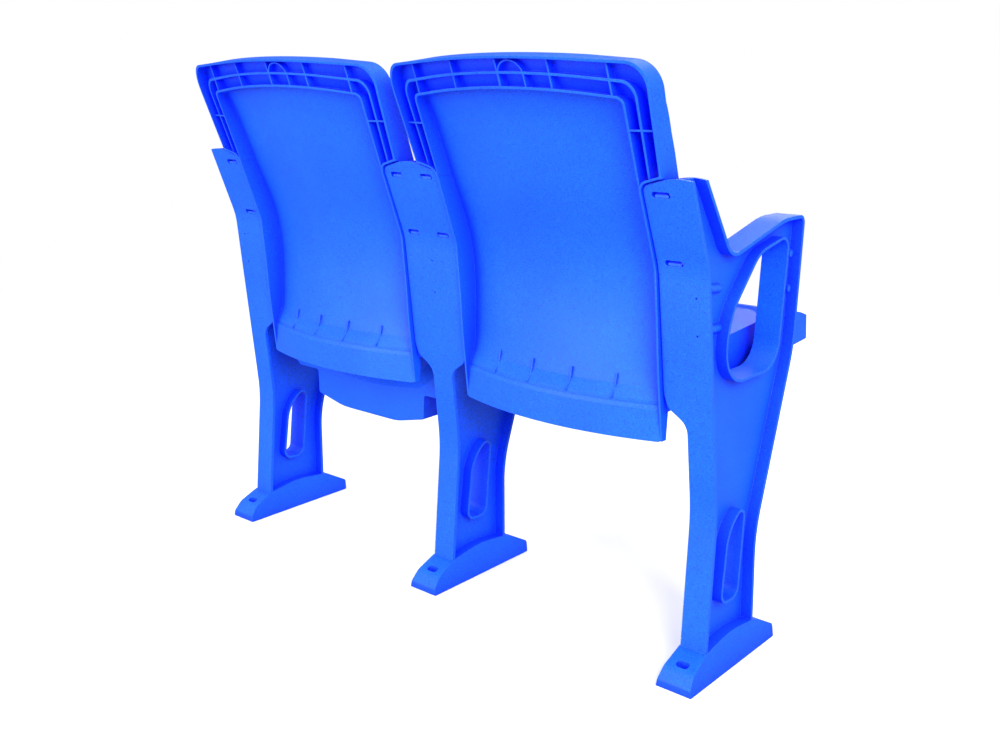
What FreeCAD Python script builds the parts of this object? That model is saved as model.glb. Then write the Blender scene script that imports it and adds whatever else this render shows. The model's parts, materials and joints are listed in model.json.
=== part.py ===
import FreeCAD, Part
import math
import os
import Sketcher

# Row of two tip-up stadium seats on three moulded standards.
# Frame: +Z up, the seats face -Y, the row runs along X.
# The origin lies on the floor, midway between the floor slots of the middle standard.
# As in the photograph, the seat on the +X side is tipped up and the one on the -X side is down.

V = FreeCAD.Vector

SIZES = (
    # Row
    ("pitch", 480.0, "distance between standards"),
    # Standard, seen from the side
    ("foot_length", 236.0, "foot, front to back"),
    ("foot_width", 56.0, "foot, across its sole"),
    ("foot_height", 42.0, "foot, where the leg stands on it"),
    ("rim_width", 40.0, "rim round the web, across"),
    ("rim_wall", 5.0, "wall of the rim"),
    ("web_wall", 5.0, "wall of the web"),
    ("arm_height", 634.0, "top of the armrest"),
    ("arm_reach", 179.0, "front of the armrest, ahead of the origin"),
    ("valley_height", 597.0, "low point between armrest and upright"),
    ("upright_height", 712.0, "top of the upright"),
    ("lean_slope", 0.385, "lean of the upright, run over rise"),
    ("bend_height", 580.0, "where the upright starts to lean"),
    ("bend_back", 91.0, "rear face at the bend, behind the origin"),
    ("knee_height", 235.0, "where the rear of the leg is hollowest"),
    ("knee_back", 52.0, "rear face at the knee, behind the origin"),
    ("collar_wall", 4.0, "wall of the collars round the two windows"),
    # Rear flange, which carries the backs
    ("flange_half", 56.0, "rear flange, from the web to its free edge"),
    ("flange_wall", 6.0, "wall of the rear flange"),
    ("flange_shoulder", 404.0, "height at which the rear flange starts to narrow"),
    ("flange_neck", 350.0, "height at which the rear flange has become the leg"),
    ("slot_offset", 30.0, "back slots, from the web"),
    ("slot_length", 28.0, "back slots, along the row"),
    ("slot_width", 8.0, "back slots, up and down"),
    ("slot_high", 683.0, "upper back slots, height"),
    ("slot_low", 590.0, "lower back slots, height"),
    ("screw_high", 640.0, "upper back screws, height"),
    ("screw_low", 450.0, "lower back screws, height"),
    ("screw_offset", 38.0, "back screws, from the web"),
    ("tap_depth", 4.5, "depth of the tapped holes in the rear flange"),
    # Floor slots
    ("floor_slot_reach", 94.0, "floor slots, in front of and behind the origin"),
    ("floor_slot_length", 20.0, "floor slots, along the row"),
    ("floor_slot_width", 11.0, "floor slots, front to back"),
    # Hinge
    ("pivot_back", -87.0, "hinge axis, behind the origin"),
    ("pivot_height", 370.0, "hinge axis, height"),
    ("travel", 86.0, "swing of a seat, degrees"),
    ("down_tilt", 4.0, "rise of a lowered seat towards its front, degrees"),
    ("pin_diameter", 14.0, "hinge pin"),
    ("pin_head_diameter", 24.0, "head of the hinge pin"),
    ("pin_head_wall", 3.0, "head of the hinge pin, thickness"),
    ("pin_sunk", 18.0, "length of hinge pin held in its boss"),
    ("boss_diameter", 36.0, "hinge boss on the web"),
    ("boss_reach", 25.0, "hinge boss, from the middle of the web"),
    ("bush_wall", 2.5, "wall of the hinge bush"),
    ("washer_wall", 1.5, "thrust washer"),
    ("cheek_wall", 8.0, "hinge cheek, thickness"),
    ("stop_radius", 42.0, "stop peg, from the hinge axis"),
    ("stop_angle", -75.0, "stop peg, direction from the hinge axis, degrees"),
    ("peg_diameter", 11.0, "stop peg"),
    ("buffer_wall", 2.5, "rubber sleeve on the stop peg"),
    ("cheek_rim", 8.0, "cheek material outside the stop slot"),
    # Seat, in its own frame with the hinge axis as origin
    ("seat_half", 200.0, "half the width of a seat"),
    ("seat_front", 261.0, "front of a seat, ahead of the hinge axis"),
    ("seat_rear", 141.0, "rear of a seat, behind the hinge axis"),
    ("seat_rear_corner", 124.0, "rear of a seat at the ends of its tail"),
    ("seat_top", 94.0, "border of a seat, above the hinge axis"),
    ("seat_nose", 60.0, "front edge of a seat, above the hinge axis"),
    ("seat_skirt", 27.0, "lower edge of a seat's skirt, above the hinge axis"),
    ("seat_wall", 3.5, "wall of a seat"),
    ("tail_half", 137.0, "half the width of a seat's tail"),
    ("tail_notch", 80.0, "where the tail begins, behind the hinge axis"),
    ("tail_border", 54.0, "flat border behind the dish"),
    ("dish_half", 176.0, "half the width of the dish"),
    ("dish_front", 215.0, "front of the dish, ahead of the hinge axis"),
    ("dish_depth", 16.0, "depth of the dish"),
    ("cheek_screw_diameter", 6.0, "screws that hold a cheek to its seat"),
    ("cheek_screw_length", 22.0, "length of those screws"),
    # Back, measured from the middle of the seat
    ("back_top", 858.0, "top of a back, in the middle"),
    ("back_corner", 845.0, "top of a back, at its corners"),
    ("back_half_low", 216.0, "half the width of a back, above the standards"),
    ("back_half_top", 226.0, "half the width of a back, near its top"),
    ("back_wall", 3.5, "wall of a back"),
    ("back_rib", 3.0, "ribs of a back"),
    ("back_bulge", 23.0, "how far the middle of a back bows to the rear"),
    ("rib_gap_outer", 21.0, "skirt to first rib"),
    ("rib_gap_inner", 17.0, "first rib to second rib"),
    ("rib_drop", 8.0, "how far the two ribs stay below the skirt"),
    ("fin_gap", 2.0, "gap between a back's fin and the rear flange"),
    ("lip_low", 333.0, "lower edge of a back"),
    ("lip_high", 384.0, "top of the lip at the foot of a back"),
    ("land_wall", 4.0, "side lands of a back, which lie on the rear flanges"),
    ("spigot_length", 21.0, "locating spigots of a back, along the row"),
    ("spigot_width", 4.0, "locating spigots of a back, up and down"),
    ("spigot_reach", 4.0, "how far a spigot enters its slot"),
    ("back_screw_diameter", 6.0, "screws that hold a back"),
    ("back_screw_head", 13.0, "head of those screws"),
    ("back_washer_diameter", 18.0, "washers under those heads"),
    ("back_washer_wall", 1.6, "washers under those heads, thickness"),
    ("seat_gap", 0.3, "clearance between faces that meet"),
    ("pin_clearance", 0.05, "clearance round the hinge pin, on the radius"),
    ("bush_fit", 0.02, "clearance round the hinge bush, on the radius"),
)

doc = FreeCAD.newDocument("stadium_seat")
sheet = doc.addObject("Spreadsheet::Sheet", "Sizes")


class Dim:
    """A size with its number and the expression that gives it in the document."""

    def __init__(self, value, text):
        self.value = value
        self.text = text

    def joined(self, other, sign, value):
        text = other.text if isinstance(other, Dim) else repr(float(other))
        return Dim(value, "(%s %s %s)" % (self.text, sign, text))

    def __add__(self, other):
        return self.joined(other, "+", self.value + float(other))

    def __sub__(self, other):
        return self.joined(other, "-", self.value - float(other))

    def __mul__(self, other):
        return self.joined(other, "*", self.value * float(other))

    def __truediv__(self, other):
        return self.joined(other, "/", self.value / float(other))

    def __neg__(self):
        return Dim(-self.value, "(-1 * %s)" % self.text)

    def __float__(self):
        return self.value


class Named:
    """The sizes of the sheet, as attributes."""


def read_sizes():
    named = Named()
    for row, (alias, number, note) in enumerate(SIZES, start=1):
        sheet.set("A%d" % row, note)
        sheet.set("B%d" % row, str(number))
        sheet.setAlias("B%d" % row, alias)
        setattr(named, alias, Dim(number, "Sizes.%s" % alias))
    doc.recompute()
    return named


d = read_sizes()


# Outlines: corners are (across, up, radius), and each corner is rounded by its radius

def rounded_edges(corners):
    points = [V(float(a), float(b), 0) for a, b, _ in corners]
    count = len(points)
    bends = []
    for i, (_, _, radius) in enumerate(corners):
        here = points[i]
        back = (points[i - 1] - here).normalize()
        ahead = (points[(i + 1) % count] - here).normalize()
        half = back.getAngle(ahead) / 2
        if float(radius) < 0.01 or abs(half - math.pi / 2) < 1e-4:
            bends.append((here, None, here))
            continue
        run = float(radius) / math.tan(half)
        middle = here + (back + ahead).normalize() * (float(radius) / math.sin(half) - float(radius))
        bends.append((here + back * run, middle, here + ahead * run))
    edges = []
    for i in range(count):
        start, middle, end = bends[i]
        if middle is not None:
            edges.append(Part.Arc(start, middle, end))
        following = bends[(i + 1) % count][0]
        if (following - end).Length > 1e-4:
            edges.append(Part.LineSegment(end, following))
    return edges


def shifted(corners, distance):
    """The outline moved outwards by a distance, or inwards by a negative one."""
    points = [V(float(a), float(b), 0) for a, b, _ in corners]
    count = len(points)
    area = sum(points[i - 1].x * points[i].y - points[i].x * points[i - 1].y for i in range(count))
    side = distance if area > 0 else -distance
    moved = []
    for i in range(count):
        back = (points[i] - points[i - 1]).normalize()
        ahead = (points[(i + 1) % count] - points[i]).normalize()
        normal_back = V(back.y, -back.x, 0)
        normal_ahead = V(ahead.y, -ahead.x, 0)
        mid = (normal_back + normal_ahead)
        mid = mid * (side / (1 + normal_back.dot(normal_ahead)))
        turn = back.x * ahead.y - back.y * ahead.x
        outward = distance if turn * area > 0 else -distance
        radius = float(corners[i][2])
        grown = max(radius + outward, 0.0) if radius > 0 else 0.0
        moved.append((points[i].x + mid.x, points[i].y + mid.y, grown))
    return moved


def strip(corners, wall):
    """An open path of corners given a wall on its left, as a closed outline."""
    points = [V(float(a), float(b), 0) for a, b, _ in corners]
    last = len(points) - 1
    other = []
    for i, here in enumerate(points):
        back = (here - points[i - 1]).normalize() if i > 0 else None
        ahead = (points[i + 1] - here).normalize() if i < last else None
        back = back or ahead
        ahead = ahead or back
        left_back = V(-back.y, back.x, 0)
        left_ahead = V(-ahead.y, ahead.x, 0)
        mid = (left_back + left_ahead) * (float(wall) / (1 + left_back.dot(left_ahead)))
        turn = back.x * ahead.y - back.y * ahead.x
        radius = float(corners[i][2])
        grown = radius - float(wall) if turn > 0 else radius + float(wall)
        other.append((here.x + mid.x, here.y + mid.y, max(grown, 0.0) if radius > 0 else 0.0))
    return list(corners) + other[::-1]


def wire_of(corners):
    return Part.Wire([edge.toShape() for edge in rounded_edges(corners)])


# Sketches and features

def bind(thing, name, size):
    setattr(thing, name, float(size))
    if isinstance(size, Dim):
        thing.setExpression(name, size.text)


def plane_of(body, role):
    return [item for item in body.Origin.OriginFeatures if item.Role == role][0]


def sketch_on(body, name, role, offset=0.0):
    sketch = body.newObject("Sketcher::SketchObject", name)
    sketch.AttachmentSupport = [(plane_of(body, role), "")]
    sketch.MapMode = "FlatFace"
    sketch.AttachmentOffset = FreeCAD.Placement(V(0, 0, float(offset)), FreeCAD.Rotation())
    if isinstance(offset, Dim):
        sketch.setExpression("AttachmentOffset.Base.z", offset.text)
    return sketch


def sketch_on_flange(body, name, across, height, ahead):
    """A sketch that lies square to the rear flange, in front of it."""
    sketch = body.newObject("Sketcher::SketchObject", name)
    sketch.AttachmentSupport = [(plane_of(body, "XZ_Plane"), "")]
    sketch.MapMode = "FlatFace"
    point, way = flange_point(across, height, ahead)
    lean = math.degrees(math.atan(slope_at(height)))
    sketch.AttachmentOffset = FreeCAD.Placement(V(point.x, point.z, -point.y),
                                                FreeCAD.Rotation(V(1, 0, 0), -lean))
    return sketch


def draw(sketch, *outlines):
    for corners in outlines:
        first = sketch.GeometryCount
        sketch.addGeometry(rounded_edges(corners), False)
        fixed = [Sketcher.Constraint("Block", index) for index in range(first, sketch.GeometryCount)]
        sketch.addConstraint(fixed)
    return sketch


def tie(sketch, kind, size, *where):
    index = sketch.addConstraint(Sketcher.Constraint(kind, *where, float(size)))
    if isinstance(size, Dim):
        sketch.setExpression("Constraints[%d]" % index, size.text)


def draw_circle(sketch, across, up, diameter):
    ring = Part.Circle(V(float(across), float(up), 0), V(0, 0, 1), float(diameter) / 2)
    index = sketch.addGeometry(ring, False)
    tie(sketch, "Diameter", diameter, index)
    if float(across) == 0 and float(up) == 0:
        sketch.addConstraint(Sketcher.Constraint("Coincident", index, 3, -1, 1))
        return sketch
    tie(sketch, "DistanceX", across, -1, 1, index, 3)
    tie(sketch, "DistanceY", up, -1, 1, index, 3)
    return sketch


def slot_outline(across, up, length, width):
    reach = float(length) / 2
    half = float(width) / 2
    return [(float(across) - reach, float(up) - half, half), (float(across) + reach, float(up) - half, half),
            (float(across) + reach, float(up) + half, half), (float(across) - reach, float(up) + half, half)]


def pad(body, sketch, length, both_ways=False, reverse=False):
    feature = body.newObject("PartDesign::Pad", sketch.Name + "_pad")
    feature.Profile = sketch
    feature.Refine = False
    feature.SideType = "Symmetric" if both_ways else "One side"
    feature.Reversed = reverse
    bind(feature, "Length", length)
    sketch.recompute()
    feature.recompute()
    return feature


def pocket(body, sketch, length, both_ways=False, reverse=False):
    before = body.Tip.Shape.Volume
    feature = body.newObject("PartDesign::Pocket", sketch.Name + "_cut")
    feature.Profile = sketch
    feature.Refine = False
    feature.SideType = "Symmetric" if both_ways else "One side"
    feature.Reversed = reverse
    bind(feature, "Length", length)
    sketch.recompute()
    feature.recompute()
    if not feature.Shape.Volume < before - 1e-3:
        raise ValueError(sketch.Name + " cuts nothing")
    return feature


def revolve(body, sketch, axis):
    feature = body.newObject("PartDesign::Revolution", sketch.Name + "_turned")
    feature.Profile = sketch
    feature.ReferenceAxis = (sketch, [axis])
    feature.Angle = 360
    sketch.recompute()
    feature.recompute()
    return feature


def new_body(name):
    body = doc.addObject("PartDesign::Body", name)
    body.Label = name
    return body


# Side view of the standard: across is Y, up is Z

def lean_at(height):
    """Rear face of the leaning upright at a height."""
    return float(d.bend_back) + float(d.lean_slope) * (float(height) - float(d.bend_height))


KNEE_RADIUS = 300
BEND_RADIUS = 120
WAIST_HEIGHT = 500
WAIST_STEP = 9


def rear_path():
    """Rear face of the standard, from the foot up, as an open path."""
    return [
        (float(d.knee_back) + 17, 30, 0),
        (float(d.knee_back), d.knee_height, KNEE_RADIUS),
        (float(d.bend_back) - WAIST_STEP, WAIST_HEIGHT, 200),
        (d.bend_back, d.bend_height, BEND_RADIUS),
        (lean_at(d.upright_height), d.upright_height, 0),
    ]


def rear_at(height):
    """Rear face of the standard at a height, without its rounding."""
    path = [(float(across), float(up)) for across, up, _ in rear_path()]
    for (low_across, low_up), (high_across, high_up) in zip(path, path[1:]):
        if float(height) <= high_up:
            break
    share = (float(height) - low_up) / (high_up - low_up)
    return low_across + share * (high_across - low_across)


def slope_at(height):
    """Lean of the rear face at a height, run over rise."""
    return (rear_at(float(height) + 1) - rear_at(float(height) - 1)) / 2


def flange_point(across, height, ahead):
    """A point at a distance in front of the rear flange's front face, and the way the flange faces."""
    slope = slope_at(height)
    norm = math.sqrt(1 + slope * slope)
    way = V(0, 1 / norm, -slope / norm)
    rear = V(float(across), rear_at(height), float(height))
    return rear - way * (float(d.flange_wall) + float(ahead)), way


def side_outline():
    reach = -float(d.arm_reach)
    arm = float(d.arm_height)
    top = float(d.upright_height)
    lean = lean_at(top)
    rear = [(across, up, radius or 5) for across, up, radius in rear_path()]
    return rear + [
        (lean - 36, top + 2, 16),
        (30, d.valley_height, 28),
        (reach + 62, arm, 150),
        (reach, arm, 13),
        (reach + 19, arm - 194, 250),
        (-65, 178, 200),
        (-66, 30, 5),
    ]


def leg_window():
    return [(-29, 234, 9), (-15, 101, 14), (27, 103, 13), (13, 205, 60)]


def arm_window():
    front = -float(d.arm_reach) + 49
    arm = float(d.arm_height)
    return [
        (front, arm - 27, 15), (front + 22, 421, 42), (37, 421, 46),
        (32, 510, 100), (-47, arm - 43, 60),
    ]


def foot_outline():
    reach = float(d.foot_length) / 2
    up = float(d.foot_height)
    return [
        (reach, 0, 0.8), (-reach, 0, 2), (-reach - 1, up - 23, 7), (-reach + 47, up + 2, 40),
        (0, up + 10, 200), (reach - 50, up + 1, 40), (reach - 14, up - 15, 22), (reach - 1, up - 31, 8),
    ]


def flange_face():
    """Rear flange seen from behind: across is X from the web, up is Z."""
    half = float(d.flange_half)
    neck = float(d.rim_width) / 2 + 0.5
    shoulder = float(d.flange_shoulder)
    low = float(d.flange_neck)
    top = float(d.upright_height)
    return [
        (-neck, -10, 0), (neck, -10, 0), (neck, low + 14, 26), (half - 6, shoulder - 20, 16),
        (half, shoulder, 20), (half, top - 19, 12), (0, top - 3, 90), (-half, top - 19, 12),
        (-half, shoulder, 20), (-half + 6, shoulder - 20, 16), (-neck, low + 14, 26),
    ]


def foot_side_wedges():
    """What is taken off the sides of the foot, seen from behind."""
    sole = float(d.foot_width) / 2
    rim = float(d.rim_width) / 2
    height = float(d.foot_height) + 12
    wide = sole + 10
    right = [(sole, -1, 0), (wide, -1, 0), (wide, height, 0), (rim + 0.01, height, 0), (sole, 1, 0)]
    left = [(-across, up, radius) for across, up, radius in right]
    return right, left


PEG_ANGLE = math.radians(float(d.stop_angle))
PEG_BACK = d.pivot_back + d.stop_radius * math.cos(PEG_ANGLE)
PEG_HEIGHT = d.pivot_height + d.stop_radius * math.sin(PEG_ANGLE)
CHEEK_INNER = d.boss_reach + d.washer_wall + d.seat_gap * 2
CHEEK_OUTER = CHEEK_INNER + d.cheek_wall
GATE_ROWS = (546, 494)
TRIM_BOSSES = ((-152, 578), (-150, 527))


def standard(name, position, seat_sides, outer_side):
    """One moulded standard. seat_sides are the sides, +1 or -1, that carry a seat."""
    body = new_body(name)
    rim = float(d.rim_width)
    web = float(d.web_wall)
    shell = draw(sketch_on(body, name + "_rim", "YZ_Plane"), side_outline())
    pad(body, shell, d.rim_width, both_ways=True)
    inner = shifted(side_outline(), -float(d.rim_wall))
    for side in (1, -1):
        face = draw(sketch_on(body, "%s_recess_%d" % (name, side + 1), "YZ_Plane", side * rim / 2), inner)
        pocket(body, face, (d.rim_width - d.web_wall) / 2, reverse=side < 0)

    # Wide rear flange on the sides that carry a back
    plate = strip(rear_path(), float(d.flange_wall))
    left = float(d.flange_half) if -1 in seat_sides else rim / 2
    right = float(d.flange_half) if 1 in seat_sides else rim / 2
    flange = draw(sketch_on(body, name + "_flange", "YZ_Plane", -left), plate)
    pad(body, flange, left + right)
    wide = float(d.flange_half) + 15
    high = float(d.upright_height) + 40
    frame = [(-wide, -20, 0), (wide, -20, 0), (wide, high, 0), (-wide, high, 0)]
    notch = sketch_on(body, name + "_flange_edge", "XZ_Plane", -200)
    draw(notch, frame, flange_face())
    pocket(body, notch, 200 + float(d.arm_reach) + 5, reverse=True)

    # Windows with their raised collars
    for label, window in (("leg", leg_window()), ("arm", arm_window())):
        collar = sketch_on(body, "%s_%s_collar" % (name, label), "YZ_Plane")
        draw(collar, shifted(window, float(d.collar_wall)))
        pad(body, collar, d.rim_width, both_ways=True)
        hole = draw(sketch_on(body, "%s_%s_window" % (name, label), "YZ_Plane"), window)
        pocket(body, hole, rim + 2, both_ways=True)

    # Foot with sloping sides
    foot = draw(sketch_on(body, name + "_foot", "YZ_Plane"), foot_outline())
    pad(body, foot, d.foot_width, both_ways=True)
    wedges = sketch_on(body, name + "_foot_sides", "XZ_Plane", -200)
    draw(wedges, *foot_side_wedges())
    pocket(body, wedges, 400, reverse=True)
    slots = sketch_on(body, name + "_floor_slots", "XY_Plane", -1)
    for place in (1, -1):
        centre = float(d.floor_slot_reach) * place
        draw(slots, slot_outline(0, centre, d.floor_slot_length, d.floor_slot_width))
    pocket(body, slots, float(d.foot_height) + 5, reverse=True)

    # Hinge boss and stop peg on each side that carries a seat
    for side in seat_sides:
        base = side * web / 4
        tag = "%s_%s" % (name, "left" if side > 0 else "right")
        boss = draw_circle(sketch_on(body, tag + "_boss", "YZ_Plane", base), d.pivot_back, d.pivot_height,
                           d.boss_diameter)
        pad(body, boss, float(d.boss_reach) - web / 4, reverse=side < 0)
        peg = draw_circle(sketch_on(body, tag + "_peg", "YZ_Plane", base), PEG_BACK, PEG_HEIGHT, d.peg_diameter)
        pad(body, peg, float(CHEEK_OUTER) - web / 4, reverse=side < 0)
        bore = draw_circle(sketch_on(body, tag + "_bore", "YZ_Plane", float(d.boss_reach) * side),
                           d.pivot_back, d.pivot_height, d.pin_diameter)
        pocket(body, bore, d.pin_sunk, reverse=side < 0)

    # Slots and tapped holes for the backs
    for side in seat_sides:
        tag = "%s_%s" % (name, "left" if side > 0 else "right")
        for label, height in (("high", d.slot_high), ("low", d.slot_low)):
            rear = rear_at(height)
            slot = sketch_on(body, "%s_slot_%s" % (tag, label), "XZ_Plane", -rear - 10)
            draw(slot, slot_outline(side * float(d.slot_offset), height, d.slot_length, d.slot_width))
            pocket(body, slot, 10 + float(d.flange_wall) + 5, reverse=True)
        for label, height in (("high", d.screw_high), ("low", d.screw_low)):
            tap = sketch_on_flange(body, "%s_tap_%s" % (tag, label), float(d.screw_offset) * side, height, 6)
            draw_circle(tap, 0, 0, d.back_screw_diameter)
            pocket(body, tap, d.tap_depth + 6)

    # Bosses with pilot holes behind the rear face, and two small bosses at the armrest window
    ribs = sketch_on(body, name + "_pilot_bosses", "YZ_Plane")
    pilots = sketch_on(body, name + "_pilots", "XZ_Plane", -rear_at(GATE_ROWS[0]) - 4)
    for height in GATE_ROWS:
        rear = rear_at(height)
        draw(ribs, [(rear - 18, height - 4.5, 4.5), (rear - 2, height - 4.5, 0), (rear - 2, height + 4.5, 0),
                    (rear - 18, height + 4.5, 4.5)])
        draw_circle(pilots, 0, height, 3)
    pad(body, ribs, web + 19, both_ways=True)
    pocket(body, pilots, 19, reverse=True)
    studs = sketch_on(body, name + "_studs", "YZ_Plane", outer_side * web / 4)
    for back, height in TRIM_BOSSES:
        draw_circle(studs, back, height, 9)
    pad(body, studs, 12, reverse=outer_side < 0)
    body.Placement = FreeCAD.Placement(V(float(position), 0, 0), FreeCAD.Rotation())
    return body


# Hinge parts, drawn for a seat side at +X of its standard and placed for each side

def hinge_place(position, side):
    """Puts a piece drawn along +X from the web on either side of a standard, at the hinge axis."""
    turn = FreeCAD.Rotation(V(0, 0, 1), 0 if side > 0 else 180)
    return FreeCAD.Placement(V(float(position), float(d.pivot_back), float(d.pivot_height)), turn)


def turned_piece(name, outline):
    """A piece turned about X. The outline gives X against radius."""
    body = new_body(name)
    sketch = draw(sketch_on(body, name + "_section", "XY_Plane"), outline)
    revolve(body, sketch, "H_Axis")
    return body


PIN_HEAD_START = CHEEK_OUTER + d.seat_gap
BUSH_BORE = d.pin_diameter / 2 + d.pin_clearance
BUSH_OUTER = BUSH_BORE + d.bush_wall


def hinge_pin(name, position, side):
    shank = float(d.pin_diameter) / 2
    head = float(d.pin_head_diameter) / 2
    start = float(d.boss_reach) - float(d.pin_sunk)
    shoulder = float(PIN_HEAD_START)
    end = shoulder + float(d.pin_head_wall)
    piece = turned_piece(name, [
        (start, 0, 0), (end, 0, 0), (end, head, 1.2), (shoulder, head, 0), (shoulder, shank, 0),
        (start + 1, shank, 0), (start, shank - 1, 0),
    ])
    piece.Placement = hinge_place(position, side)
    return piece


def hinge_bush(name, position, side):
    bore = float(BUSH_BORE)
    outer = float(BUSH_OUTER)
    start = float(CHEEK_INNER)
    end = float(CHEEK_OUTER)
    piece = turned_piece(name, [
        (start, bore, 0), (end, bore, 0), (end, outer, 0.4), (start, outer, 0.4),
    ])
    piece.Placement = hinge_place(position, side)
    return piece


def thrust_washer(name, position, side):
    bore = float(BUSH_BORE)
    outer = float(d.boss_diameter) / 2
    start = float(d.boss_reach) + float(d.seat_gap) * 0.5
    end = start + float(d.washer_wall)
    piece = turned_piece(name, [(start, bore, 0), (end, bore, 0), (end, outer, 0.3), (start, outer, 0.3)])
    piece.Placement = hinge_place(position, side)
    return piece


def stop_buffer(name, position, side):
    """Rubber sleeve on the stop peg."""
    inner = float(d.peg_diameter) / 2 + float(d.bush_fit)
    outer = inner + float(d.buffer_wall)
    start = float(CHEEK_INNER) - 1
    end = float(CHEEK_OUTER)
    piece = turned_piece(name, [(start, inner, 0), (end, inner, 0), (end, outer, 0.6), (start, outer, 0.6)])
    place = hinge_place(position, side)
    place.Base = V(float(position), float(PEG_BACK), float(PEG_HEIGHT))
    piece.Placement = place
    return piece


# Seat pieces, drawn in the seat's frame: hinge axis at the origin, border level, front towards -Y

def arc_slot(radius, start, end, width):
    """Outline of a slot along an arc about the origin, as edges."""
    half = float(width) / 2
    middle = (start + end) / 2

    def at(reach, angle):
        return V(reach * math.cos(angle), reach * math.sin(angle), 0)

    def cap(angle, sign):
        centre = at(radius, angle)
        along = V(-math.sin(angle), math.cos(angle), 0) * sign
        return Part.Arc(at(radius - half, angle), centre + along * half, at(radius + half, angle))

    return [
        Part.Arc(at(radius + half, start), at(radius + half, middle), at(radius + half, end)),
        cap(end, 1),
        Part.Arc(at(radius - half, end), at(radius - half, middle), at(radius - half, start)),
        cap(start, -1),
    ]


CHEEK_SCREWS = ((-104, 50), (-62, 42), (30, 38))


def cheek_outline():
    reach = float(d.stop_radius) + float(d.peg_diameter) / 2 + float(d.buffer_wall) + float(d.cheek_rim)
    hub = float(BUSH_OUTER) + 17
    return [
        (-124, 68, 8), (-124, 38, 12), (-66, 26, 30), (-hub - 2, 2, 20), (-hub + 1, -hub + 4, 14),
        (-10, -reach + 14, 12), (-5, -reach, 7), (reach, -reach, reach - 1), (reach, 26, 14), (40, 52, 12),
        (4, 34, 24), (-60, 58, 60),
    ]


def hinge_cheek(name, position, tilt):
    """Black side bracket of a seat, with the arc slot that runs over the stop peg."""
    body = new_body(name)
    plate = draw(sketch_on(body, name + "_plate", "YZ_Plane", CHEEK_INNER), cheek_outline())
    pad(body, plate, d.cheek_wall)
    bore = sketch_on(body, name + "_bore", "YZ_Plane", CHEEK_OUTER)
    draw_circle(bore, 0, 0, (BUSH_OUTER + d.bush_fit) * 2)
    pocket(body, bore, d.cheek_wall)
    start = math.radians(float(d.stop_angle) + float(d.down_tilt))
    end = start + math.radians(float(d.travel))
    width = d.peg_diameter + d.buffer_wall * 2 + d.seat_gap * 2
    groove = sketch_on(body, name + "_slot", "YZ_Plane", CHEEK_OUTER)
    groove.addGeometry(arc_slot(float(d.stop_radius), start, end, width), False)
    groove.addConstraint([Sketcher.Constraint("Block", index) for index in range(groove.GeometryCount)])
    pocket(body, groove, d.cheek_wall)
    for number, (back, height) in enumerate(CHEEK_SCREWS):
        sink = sketch_on(body, "%s_sink_%d" % (name, number), "YZ_Plane", CHEEK_INNER)
        draw_circle(sink, back, height, d.cheek_screw_diameter * 2 + d.seat_gap)
        pocket(body, sink, d.cheek_screw_diameter / 2, reverse=True)
        hole = sketch_on(body, "%s_hole_%d" % (name, number), "YZ_Plane", CHEEK_INNER)
        draw_circle(hole, back, height, d.cheek_screw_diameter + d.seat_gap)
        pocket(body, hole, d.cheek_wall, reverse=True)
    base = V(float(position), float(d.pivot_back), float(d.pivot_height))
    body.Placement = FreeCAD.Placement(base, FreeCAD.Rotation(V(1, 0, 0), -float(tilt)))
    return body


def seat_side_profile():
    top = float(d.seat_top)
    nose = float(d.seat_nose)
    front = -float(d.seat_front)
    skirt = float(d.seat_skirt)
    rear = float(d.seat_rear)
    return [
        (rear, top, 5), (front + 131, top, 150), (front + 44, top - 17, 80), (front, nose - 2, 16),
        (front, skirt, 3), (rear - 70, skirt, 40), (rear - 30, skirt + 22, 20), (rear, skirt + 24, 5),
    ]


def tail_arc(half, back, sag):
    """Y of the rear arc at a half width, for an arc that sags by sag over the tail."""
    return float(back) - float(sag) * (float(half) / float(d.tail_half)) ** 2


def seat_plan():
    """Plan of the seat: across is X, up the page is Y."""
    half = float(d.seat_half)
    front = -float(d.seat_front)
    tail = float(d.tail_half)
    notch = float(d.tail_notch)
    corner = float(d.seat_rear_corner)
    rear = float(d.seat_rear)
    quarter = tail_arc(tail / 2, rear, rear - corner)
    return [
        (-half, front + 4, 22), (0, front - 8, 900), (half, front + 4, 22), (half, notch, 14), (tail + 2, notch, 6),
        (tail, corner, 4), (tail / 2, quarter + 3, 160), (0, rear + 1, 400), (-tail / 2, quarter + 3, 160),
        (-tail, corner, 4), (-tail - 2, notch, 6), (-half, notch, 14),
    ]


def prism(name, role_turn, corners, start, end):
    """Outline pushed along its normal from start to end, in one of the three main planes."""
    face = Part.Face(wire_of(corners))
    solid = face.extrude(V(0, 0, float(end) - float(start)))
    solid.translate(V(0, 0, float(start)))
    solid.Placement = FreeCAD.Placement(V(0, 0, 0), role_turn).multiply(solid.Placement)
    return named_shape(name, solid)


TO_YZ = FreeCAD.Rotation(V(0, 1, 0), V(0, 0, 1), V(1, 0, 0), "ZXY")
TO_XZ = FreeCAD.Rotation(V(1, 0, 0), V(0, 0, 1), V(0, -1, 0), "ZXY")
TO_XY = FreeCAD.Rotation()


def named_shape(name, shape):
    item = doc.addObject("Part::Feature", name)
    item.Shape = shape
    return item


def combine(kind, name, base, tools):
    """Common, fusion or cut of document objects."""
    if kind == "Part::Cut":
        item = doc.addObject(kind, name)
        item.Base = base
        item.Tool = tools[0] if len(tools) == 1 else combine("Part::MultiFuse", name + "_tools", None, tools)
    else:
        item = doc.addObject(kind, name)
        item.Shapes = ([base] if base else []) + list(tools)
    doc.recompute()
    return item


SEAT_RIBS = (-120, -40, 40, 120)
SEAT_CROSS_RIBS = (-190, -90, 20)
RIB_WALL = 2.5
DISH_SLOPE = 26


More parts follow.
